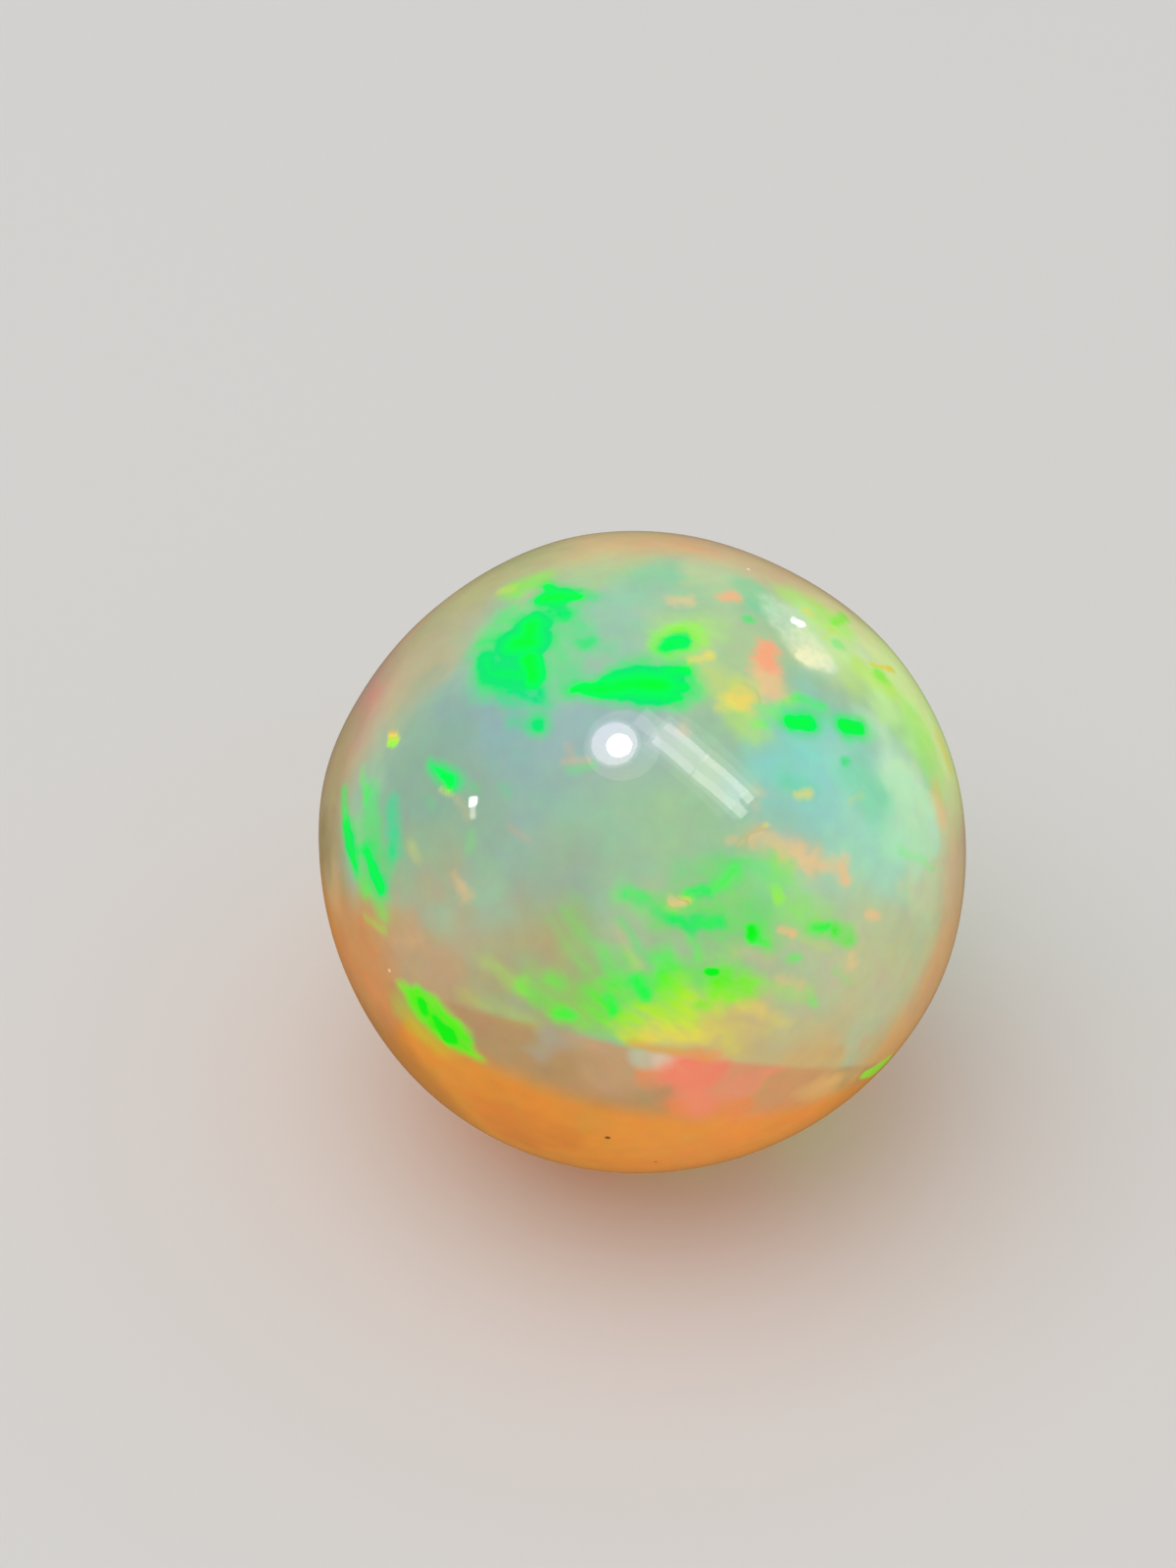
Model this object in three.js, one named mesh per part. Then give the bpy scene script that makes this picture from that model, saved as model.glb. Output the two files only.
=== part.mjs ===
// An Ethiopian opal ball: one piece of precious opal, cut round and polished by hand.
// Millimetres, +Z up. The origin is the middle of the small flat that the ball rests on,
// and the ball shows its best face to the front (-Y) and above.

import * as THREE from "three";
import { mergeVertices } from "three/addons/utils/BufferGeometryUtils.js";

const ballDiameter = 9;
const flatWidth = 1.5; // the flattest spot of the polish, which the ball rests on
const edgeSplits = 11; // on each edge of the icosahedron that the round form is drawn on

// The outline that was measured is the one seen from the front and this far above, in degrees.
const outlineSeenFrom = 42;

// Hand polishing leaves broad swells and shallows, in millimetres on the radius. Each lies at a
// turn round the measured outline, anticlockwise from the ball's right, and at a depth towards
// the viewer, both in degrees. It fades to a third at its spread.
const swells = [
  { turn: 15, depth: 0, rise: 0.025, spread: 18 },
  { turn: 64, depth: 0, rise: -0.06, spread: 18 },
  { turn: 103, depth: 0, rise: 0.02, spread: 10 },
  { turn: 127, depth: 0, rise: -0.015, spread: 11 },
  { turn: 166, depth: 0, rise: 0.07, spread: 14 },
  { turn: 208, depth: 0, rise: -0.025, spread: 18 },
  { turn: 286, depth: 0, rise: -0.03, spread: 22 },
  { turn: 337, depth: 0, rise: 0.045, spread: 18 },
  { turn: 40, depth: 55, rise: -0.025, spread: 22 },
  { turn: 200, depth: 50, rise: 0.02, spread: 24 },
  { turn: 120, depth: -50, rise: -0.045, spread: 22 },
  { turn: 350, depth: -60, rise: 0.04, spread: 20 },
];

const ballRadius = ballDiameter / 2;
const centreHeight = Math.sqrt(ballRadius ** 2 - (flatWidth / 2) ** 2);

const seenFrom = THREE.MathUtils.degToRad(outlineSeenFrom);
const outlineRight = new THREE.Vector3(1, 0, 0);
const outlineUp = new THREE.Vector3(0, Math.sin(seenFrom), Math.cos(seenFrom));
const towardsViewer = new THREE.Vector3(0, -Math.cos(seenFrom), Math.sin(seenFrom));

function swellDirection({ turn, depth }) {
  const around = THREE.MathUtils.degToRad(turn);
  const out = THREE.MathUtils.degToRad(depth);
  return new THREE.Vector3()
    .addScaledVector(outlineRight, Math.cos(out) * Math.cos(around))
    .addScaledVector(outlineUp, Math.cos(out) * Math.sin(around))
    .addScaledVector(towardsViewer, Math.sin(out));
}

const placedSwells = swells.map((swell) => ({
  middle: swellDirection(swell),
  rise: swell.rise,
  sharpness: 1 / (1 - Math.cos(THREE.MathUtils.degToRad(swell.spread))),
}));

// The ball's radius in one direction from its centre: round, but for the swells.
function radiusTowards(direction) {
  return placedSwells.reduce(
    (radius, { middle, rise, sharpness }) =>
      radius + rise * Math.exp((direction.dot(middle) - 1) * sharpness),
    ballRadius,
  );
}

// An even, closed mesh of directions, with one corner of the icosahedron straight down so that
// the flat is centred.
function evenDirections() {
  const round = new THREE.IcosahedronGeometry(1, edgeSplits);
  const goldenRatio = (1 + Math.sqrt(5)) / 2;
  const corner = new THREE.Vector3(-1, goldenRatio, 0).normalize();
  const straightDown = new THREE.Vector3(0, 0, -1);
  round.applyQuaternion(new THREE.Quaternion().setFromUnitVectors(corner, straightDown));
  round.deleteAttribute("normal");
  round.deleteAttribute("uv");
  return mergeVertices(round, 1e-6);
}

// Each point is moved out or in by the swells, and those that reach below height 0 are worn
// level with it, which leaves the flat.
function opalBallGeometry() {
  const geometry = evenDirections();
  const position = geometry.getAttribute("position");
  const direction = new THREE.Vector3();
  const point = new THREE.Vector3();
  for (let index = 0; index < position.count; index += 1) {
    direction.fromBufferAttribute(position, index).normalize();
    point.copy(direction).multiplyScalar(radiusTowards(direction));
    position.setXYZ(index, point.x, point.y, Math.max(0, point.z + centreHeight));
  }
  geometry.computeVertexNormals();
  return geometry;
}

// Milky, faintly green precious opal under a glassy polish.
const polishedOpal = new THREE.MeshStandardMaterial({
  color: 0xa3c3a4,
  roughness: 0.08,
  metalness: 0,
});

const opalBall = new THREE.Mesh(opalBallGeometry(), polishedOpal);
opalBall.name = "opal_ball";

const opal = new THREE.Group();
opal.add(opalBall);

export default opal;
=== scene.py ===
import math
import random
from collections import namedtuple

import bpy
import numpy as np
from mathutils import Matrix, Vector, noise


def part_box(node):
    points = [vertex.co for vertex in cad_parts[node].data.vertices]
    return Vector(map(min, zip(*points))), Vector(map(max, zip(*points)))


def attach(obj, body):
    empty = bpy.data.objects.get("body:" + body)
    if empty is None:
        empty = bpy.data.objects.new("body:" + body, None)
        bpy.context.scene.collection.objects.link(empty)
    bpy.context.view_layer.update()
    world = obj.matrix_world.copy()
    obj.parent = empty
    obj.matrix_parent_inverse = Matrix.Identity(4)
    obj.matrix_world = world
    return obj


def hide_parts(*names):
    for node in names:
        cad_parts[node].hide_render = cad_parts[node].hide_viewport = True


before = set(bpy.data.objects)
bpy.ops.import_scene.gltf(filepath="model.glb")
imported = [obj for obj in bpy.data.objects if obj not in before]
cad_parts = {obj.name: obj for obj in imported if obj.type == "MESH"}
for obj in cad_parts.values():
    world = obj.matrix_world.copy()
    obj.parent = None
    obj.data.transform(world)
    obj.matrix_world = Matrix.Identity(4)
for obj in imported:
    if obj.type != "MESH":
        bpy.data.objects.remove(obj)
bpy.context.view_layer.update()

# The opal ball's form. It is one piece of precious opal, ground round on a wheel and hand
# polished, so it keeps broad swells and shallows of a few hundredths of a millimetre and has
# one flattest spot that it rests on.
MM = 0.001
ball_low, ball_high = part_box("opal_ball")
ball_height = ball_high.z - ball_low.z
flat_radius = 0.75 * MM
ball_radius = (ball_height**2 + flat_radius**2) / (2 * ball_height)
ball_centre = Vector((0, 0, ball_high.z - ball_radius))
points_along_side = 129
crowding = 0.35  # draws the points closer together on the face that the photograph shows

# The outline was measured in the picture plane of the photograph's view.
view_elevation = math.radians(42)
to_right = Vector((1, 0, 0))
to_top = Vector((0, math.sin(view_elevation), math.cos(view_elevation)))
to_viewer = Vector((0, -math.cos(view_elevation), math.sin(view_elevation)))

# Turn round the outline and depth towards the viewer in degrees, rise in millimetres, and the
# angle in degrees at which the swell has faded to a third.
Swell = namedtuple("Swell", "turn depth rise spread")
swells = [
    Swell(15, 0, 0.025, 18),
    Swell(64, 0, -0.06, 18),
    Swell(103, 0, 0.02, 10),
    Swell(127, 0, -0.015, 11),
    Swell(166, 0, 0.07, 14),
    Swell(208, 0, -0.025, 18),
    Swell(286, 0, -0.03, 22),
    Swell(337, 0, 0.045, 18),
    Swell(40, 55, -0.025, 22),
    Swell(200, 50, 0.02, 24),
    Swell(120, -50, -0.045, 22),
    Swell(350, -60, 0.04, 20),
]


def add(tree, kind, inputs=None, **settings):
    """Adds a node to a tree, with its settings, and fills or links its input sockets."""
    made = tree.nodes.new(kind)
    for setting, value in settings.items():
        setattr(made, setting, value)
    for socket, value in (inputs or {}).items():
        if isinstance(value, bpy.types.NodeSocket):
            tree.links.new(value, made.inputs[socket])
        else:
            made.inputs[socket].default_value = value
    return made


shape = bpy.data.node_groups.new("polished_ball", "GeometryNodeTree")
shape.interface.new_socket("Ball", in_out="OUTPUT", socket_type="NodeSocketGeometry")
shape.interface.new_socket("Radius", in_out="INPUT", socket_type="NodeSocketFloat")
shape.interface.new_socket("Centre Height", in_out="INPUT", socket_type="NodeSocketFloat")
shape.interface.new_socket("Points Along Side", in_out="INPUT", socket_type="NodeSocketInt")
shape.interface.new_socket("Crowding", in_out="INPUT", socket_type="NodeSocketFloat")
shape.interface.new_socket("Material", in_out="INPUT", socket_type="NodeSocketMaterial")

# A finely divided cube is puffed out to an even ball of directions, which then crowd a little
# towards the viewer.
given = shape.nodes.new("NodeGroupInput")
along_side = given.outputs["Points Along Side"]
cube = add(shape, "GeometryNodeMeshCube", {"Size": (2, 2, 2), 1: along_side, 2: along_side, 3: along_side})
place = add(shape, "GeometryNodeInputPosition")
bent = add(shape, "ShaderNodeVectorMath", {0: place.outputs[0], "Scale": math.pi / 4}, operation="SCALE")
even = add(shape, "ShaderNodeVectorMath", {0: bent.outputs[0]}, operation="TANGENT")
round_way = add(shape, "ShaderNodeVectorMath", {0: even.outputs[0]}, operation="NORMALIZE").outputs[0]
shift = add(shape, "ShaderNodeVectorMath", {0: to_viewer, "Scale": given.outputs["Crowding"]}, operation="SCALE")
crowded = add(shape, "ShaderNodeVectorMath", {0: round_way, 1: shift.outputs[0]}, operation="ADD")
direction = add(shape, "ShaderNodeVectorMath", {0: crowded.outputs[0]}, operation="NORMALIZE").outputs[0]

# Each swell adds its rise, and it fades with the angle from its middle.
reach = given.outputs["Radius"]
for swell in swells:
    turn, depth = math.radians(swell.turn), math.radians(swell.depth)
    outline = to_right * math.cos(turn) + to_top * math.sin(turn)
    middle = outline * math.cos(depth) + to_viewer * math.sin(depth)
    sharpness = 1 / (1 - math.cos(math.radians(swell.spread)))
    near = add(shape, "ShaderNodeVectorMath", {0: direction, 1: middle}, operation="DOT_PRODUCT").outputs["Value"]
    fall = add(shape, "ShaderNodeMath", {0: near, 1: sharpness, 2: -sharpness}, operation="MULTIPLY_ADD")
    share = add(shape, "ShaderNodeMath", {0: fall.outputs[0]}, operation="EXPONENT")
    rise = {0: share.outputs[0], 1: swell.rise * MM, 2: reach}
    reach = add(shape, "ShaderNodeMath", rise, operation="MULTIPLY_ADD").outputs[0]

# What would reach below the resting height is worn level with it.
point = add(shape, "ShaderNodeVectorMath", {0: direction, "Scale": reach}, operation="SCALE")
centre = add(shape, "ShaderNodeCombineXYZ", {"Z": given.outputs["Centre Height"]})
lifted = add(shape, "ShaderNodeVectorMath", {0: point.outputs[0], 1: centre.outputs[0]}, operation="ADD")
lowest = (-1, -1, ball_low.z)
worn = add(shape, "ShaderNodeVectorMath", {0: lifted.outputs[0], 1: lowest}, operation="MAXIMUM")
ball = add(shape, "GeometryNodeSetPosition", {"Geometry": cube.outputs["Mesh"], "Position": worn.outputs[0]})
smooth = add(shape, "GeometryNodeSetShadeSmooth", {"Geometry": ball.outputs[0]})
real = add(shape, "GeometryNodeRealizeInstances", {"Geometry": smooth.outputs[0]})
finished = {"Geometry": real.outputs[0], "Material": given.outputs["Material"]}
dressed = add(shape, "GeometryNodeSetMaterial", finished)
add(shape, "NodeGroupOutput", {0: dressed.outputs[0]})

precious_opal = bpy.data.materials.new("precious_opal")
opal_ball = bpy.data.objects.new("polished_opal_ball", bpy.data.meshes.new("polished_opal_ball"))
bpy.context.scene.collection.objects.link(opal_ball)
maker = opal_ball.modifiers.new("shape", "NODES")
maker.node_group = shape
sizes = {
    "Radius": ball_radius,
    "Centre Height": ball_centre.z,
    "Points Along Side": points_along_side,
    "Crowding": crowding,
    "Material": precious_opal,
}
for socket in shape.interface.items_tree:
    if socket.in_out == "INPUT":
        maker[socket.identifier] = sizes[socket.name]
made_ball = opal_ball.evaluated_get(bpy.context.evaluated_depsgraph_get())
ball_mesh = bpy.data.meshes.new_from_object(made_ball)
opal_ball.modifiers.clear()
opal_ball.data = ball_mesh

# The camera stands where the photograph's did: in front and 42 degrees up, close enough for a
# ball this small to fill half the picture. Its lens gives the ball the photograph's size.
photo_width, photo_height = 1200, 1600
ball_across, ball_down, ball_reach = 655.4, 869.7, 328.5
camera_distance = 60 * MM
sensor_width = 36 * MM
seen_radius = ball_radius / math.sqrt(1 - (ball_radius / camera_distance) ** 2)
photo_pixel = seen_radius / ball_reach
photo_middle = (
    ball_centre
    - to_right * (ball_across - photo_width / 2) * photo_pixel
    + to_top * (ball_down - photo_height / 2) * photo_pixel
)
camera_place = photo_middle + to_viewer * camera_distance
camera = bpy.data.objects.new("photo_camera", bpy.data.cameras.new("photo_camera"))
camera.data.sensor_width = sensor_width / MM
camera.data.lens = sensor_width / MM * camera_distance / (photo_height * photo_pixel)
camera.data.clip_start = 1 * MM
camera.location = camera_place
camera.rotation_mode = "QUATERNION"
camera.rotation_quaternion = to_viewer.to_track_quat("Z", "Y")
bpy.context.scene.collection.objects.link(camera)
bpy.context.scene.camera = camera


def on_ball(across, down):
    """The direction from the ball's middle to the point seen at a pixel of the photograph."""
    aim = (
        to_right * (across - photo_width / 2) * photo_pixel
        - to_top * (down - photo_height / 2) * photo_pixel
        - to_viewer * camera_distance
    ).normalized()
    start = camera_place - ball_centre
    halfway = -start.dot(aim)
    inside = max(ball_radius**2 - (start + aim * halfway).length_squared, 0)
    return (start + aim * (halfway - math.sqrt(inside))).normalized()


def linear(code):
    """A colour written as sRGB hex, as the linear red, green, blue and alpha that nodes take."""
    parts = [int(code[place : place + 2], 16) / 255 for place in (1, 3, 5)]
    return [c / 12.92 if c <= 0.04045 else ((c + 0.055) / 1.055) ** 2.4 for c in parts] + [1]


# What the eye sees of one pure colour, by its wavelength in nanometres. It is a deep amber at 594.
spectral_colours = {
    485: "#7fd0d8",
    500: "#38d4b0",
    512: "#14dc80",
    518: "#06e66a",
    525: "#00f45a",
    531: "#00ff46",
    537: "#00fe2a",
    541: "#08f612",
    548: "#64f61e",
    560: "#aaf840",
    574: "#d2e048",
    588: "#f2dc62",
    594: "#e2ae58",
    600: "#f8cc90",
    612: "#faaa80",
    622: "#f88c6e",
    632: "#f87c6c",
}


def seen_colour(nanometres):
    """The linear red, green and blue that the eye sees of one wavelength."""
    known = list(spectral_colours)
    seen = np.array([linear(code)[:3] for code in spectral_colours.values()])
    return np.array([np.interp(nanometres, known, channel) for channel in seen.T])


# The play-of-colour. Silica spheres stacked in even layers inside the stone send one colour
# back from each small domain. The domains show as crisp flashes, soft veils and small flecks,
# each with a colour of the spectrum, given here by its wavelength in nanometres.
# A stroke runs between two pixels of the photograph, with a width in pixels at each end. Its
# edge is the width in pixels over which it fades, and its strength says how much it covers.
Stroke = namedtuple("Stroke", "name start end widths nanometres edge strength")

flashes = [
    Stroke("crown lozenge", (558, 611), (569, 609), (15, 20), 536, 4, 1.0),
    Stroke("crown lozenge, right", (569, 609), (590, 609), (20, 7), 534, 4, 1.0),
    Stroke("crown lozenge, spike", (566, 604), (557, 597), (13, 6), 530, 5, 1.0),
    Stroke("crown lozenge, tail", (570, 621), (578, 630), (9, 8), 521, 8, 0.85),
    Stroke("tall blob, head", (541, 638), (539, 650), (31, 38), 536, 4, 1.0),
    Stroke("tall blob, middle", (528, 656), (540, 656), (35, 36), 537, 4, 1.0),
    Stroke("tall blob, ear", (553, 635), (558, 637), (14, 12), 522, 4, 1.0),
    Stroke("tall blob, foot", (539, 673), (542, 690), (30, 31), 537, 4, 1.0),
    Stroke("tall blob, heel", (506, 687), (530, 689), (26, 28), 524, 6, 1.0),
    Stroke("side lobe", (495, 673), (501, 687), (24, 28), 521, 9, 1.0),
    Stroke("round drop", (548, 741), (551, 741), (12, 12), 518, 5, 1.0),
    Stroke("long bar, tip", (587, 705), (606, 703), (9, 15), 532, 4, 1.0),
    Stroke("long bar, blade", (606, 703), (632, 700), (15, 32), 534, 4, 1.0),
    Stroke("long bar, body", (632, 700), (655, 698), (30, 38), 536, 4, 1.0),
    Stroke("long bar, heart", (655, 698), (676, 699), (38, 38), 537, 4, 1.0),
    Stroke("long bar, upper end", (680, 686), (700, 684), (15, 9), 530, 4, 1.0),
    Stroke("long bar, middle end", (684, 700), (698, 701), (18, 13), 530, 4, 1.0),
    Stroke("long bar, lower end", (680, 711), (694, 713), (14, 9), 530, 4, 1.0),
    Stroke("faint drop", (592, 657), (603, 656), (10, 12), 516, 13, 0.8),
    Stroke("haloed core", (680, 658), (694, 654), (14, 17), 530, 7, 1.0),
    Stroke("left dash", (808, 735), (826, 737), (14, 15), 533, 4, 1.0),
    Stroke("right dash", (862, 740), (877, 743), (13, 14), 535, 4, 1.0),
    Stroke("crown dot", (762, 632), (765, 633), (8, 8), 522, 8, 0.7),
    Stroke("green lens", (440, 781), (448, 787), (4, 9), 526, 5, 0.9),
    Stroke("green lens, body", (448, 787), (461, 796), (9, 12), 531, 4, 1.0),
    Stroke("edge sliver, top", (351, 808), (353, 834), (2, 4), 534, 7, 0.4),
    Stroke("edge sliver", (353, 838), (357, 860), (6, 10), 530, 4, 1.0),
    Stroke("edge sliver, foot", (357, 860), (363, 884), (10, 5), 530, 5, 1.0),
    Stroke("second sliver, top", (370, 786), (374, 814), (4, 8), 536, 10, 0.35),
    Stroke("second sliver", (375, 868), (382, 888), (5, 12), 530, 4, 1.0),
    Stroke("second sliver, foot", (382, 888), (389, 904), (12, 11), 531, 4, 1.0),
    Stroke("low lozenge, upper core", (430, 1023), (432, 1029), (8, 8), 541, 6, 1.0),
    Stroke("low lozenge, lower core", (444, 1038), (458, 1056), (5, 15), 541, 6, 1.0),
    Stroke("spray core", (767, 946), (769, 955), (11, 15), 540, 8, 1.0),
    Stroke("spray core, tail", (771, 957), (783, 962), (9, 5), 538, 10, 0.8),
    Stroke("spray seed", (723, 992), (731, 992), (10, 10), 540, 4, 1.0),
    Stroke("spray dash", (832, 945), (844, 946), (6, 7), 535, 8, 0.9),
    Stroke("spray point", (703, 948), (708, 951), (8, 7), 516, 9, 0.85),
    Stroke("spray barb", (668, 931), (707, 946), (9, 13), 524, 11, 0.9),
    Stroke("left barb", (643, 910), (657, 917), (10, 11), 527, 14, 0.75),
    Stroke("left barb, foot", (657, 917), (672, 930), (8, 7), 522, 14, 0.5),
    Stroke("spray patch", (712, 942), (733, 941), (18, 14), 527, 12, 0.8),
    Stroke("upper barb", (702, 911), (724, 909), (9, 13), 526, 11, 0.85),
    Stroke("cap streak", (730, 905), (748, 890), (14, 20), 535, 20, 0.62),
    Stroke("right crumb", (806, 978), (814, 979), (9, 9), 535, 12, 0.5),
    Stroke("middle drop", (620, 1017), (626, 1031), (9, 11), 533, 13, 0.85),
    Stroke("upper drop", (650, 1001), (657, 1015), (15, 16), 534, 13, 0.9),
    Stroke("arc drop", (572, 1034), (583, 1037), (9, 10), 535, 13, 0.6),
    Stroke("yellow-green crumb", (715, 1025), (721, 1027), (9, 9), 546, 11, 0.65),
    Stroke("cap crumb", (789, 907), (795, 916), (9, 11), 557, 12, 0.7),
    Stroke("low crumb", (827, 1020), (831, 1024), (8, 8), 536, 12, 0.4),
    Stroke("pool drop", (862, 777), (866, 776), (9, 9), 516, 8, 0.75),
    Stroke("rim barb", (850, 637), (862, 628), (7, 10), 549, 12, 0.75),
    Stroke("rim barb, yellow root", (842, 650), (850, 640), (4, 6), 572, 9, 0.6),
    Stroke("rim spark", (823, 623), (826, 625), (6, 5), 588, 8, 0.5),
    Stroke("rim dot", (852, 656), (856, 657), (8, 8), 524, 11, 0.45),
    Stroke("rim drop", (896, 688), (901, 691), (9, 8), 550, 12, 0.65),
    Stroke("rim splinter", (881, 1096), (900, 1086), (4, 9), 556, 6, 0.85),
    Stroke("crown fleck, left", (688, 614), (702, 613), (8, 9), 602, 16, 0.5),
    Stroke("crown fleck, right", (738, 608), (749, 608), (8, 9), 610, 11, 0.7),
    Stroke("bar spark", (705, 674), (724, 669), (4, 8), 586, 9, 0.7),
    Stroke("salmon flame, top", (784, 662), (783, 684), (20, 28), 614, 15, 0.9),
    Stroke("salmon flame, foot", (782, 688), (788, 704), (28, 22), 604, 20, 0.65),
    Stroke("yellow flame", (744, 715), (762, 713), (16, 20), 589, 19, 0.8),
    Stroke("yellow flame, wisp", (732, 723), (744, 718), (5, 12), 582, 13, 0.5),
    Stroke("pool fleck", (816, 811), (826, 810), (8, 8), 588, 10, 0.6),
    Stroke("pool scratch", (867, 821), (880, 811), (4, 4), 584, 9, 0.3),
    Stroke("pool spark", (754, 861), (784, 843), (3, 6), 588, 7, 0.7),
    Stroke("pool spark, left smear", (746, 856), (752, 857), (6, 6), 604, 11, 0.4),
    Stroke("pool spark, right smear", (768, 858), (776, 852), (10, 8), 604, 13, 0.4),
    Stroke("salmon cloud, left", (784, 857), (806, 866), (12, 20), 599, 20, 0.45),
    Stroke("salmon cloud, middle", (808, 868), (828, 879), (21, 19), 600, 20, 0.58),
    Stroke("salmon cloud, right", (830, 879), (848, 883), (16, 13), 603, 15, 0.6),
    Stroke("salmon cloud, hook", (858, 884), (861, 899), (13, 10), 604, 11, 0.75),
    Stroke("salmon cloud, hook top", (850, 876), (862, 878), (9, 11), 602, 13, 0.5),
    Stroke("spray fleck, upper", (687, 920), (697, 920), (9, 9), 604, 12, 0.8),
    Stroke("spray fleck, middle", (797, 949), (808, 952), (7, 8), 605, 9, 0.8),
    Stroke("spray fleck, right", (886, 934), (897, 935), (8, 8), 602, 9, 0.7),
    Stroke("tan crumb", (868, 977), (870, 984), (9, 10), 600, 13, 0.45),
    Stroke("rose bar", (797, 999), (818, 1004), (8, 8), 604, 14, 0.4),
    Stroke("left fleck", (467, 899), (476, 912), (8, 9), 598, 18, 0.5),
    Stroke("lens shadow", (451, 805), (464, 811), (5, 6), 588, 8, 0.4),
    Stroke("lens shadow, tail", (466, 814), (479, 830), (5, 8), 604, 13, 0.18),
    Stroke("spark, green face", (399, 757), (403, 757), (10, 10), 554, 6, 0.9),
    Stroke("spark, yellow heart", (399, 754), (404, 754), (9, 9), 574, 6, 0.9),
    Stroke("spark, orange face", (399, 750), (403, 750), (7, 7), 600, 6, 0.9),
    Stroke("shoulder fleck", (513, 602), (522, 601), (6, 6), 578, 13, 0.35),
    Stroke("rim thread", (889, 678), (911, 684), (3, 4), 584, 5, 1.0),
    Stroke("rim thread, low", (970, 772), (976, 798), (3, 4), 584, 7, 0.8),
    Stroke("pool crumb, upper", (773, 806), (776, 808), (11, 11), 602, 14, 0.25),
    Stroke("pool crumb, lower", (771, 821), (774, 823), (10, 10), 602, 14, 0.25),
    Stroke("tube blush", (696, 745), (699, 747), (9, 9), 606, 13, 0.3),
    Stroke("left seam fleck", (404, 962), (428, 957), (10, 12), 606, 20, 0.18),
]

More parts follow.
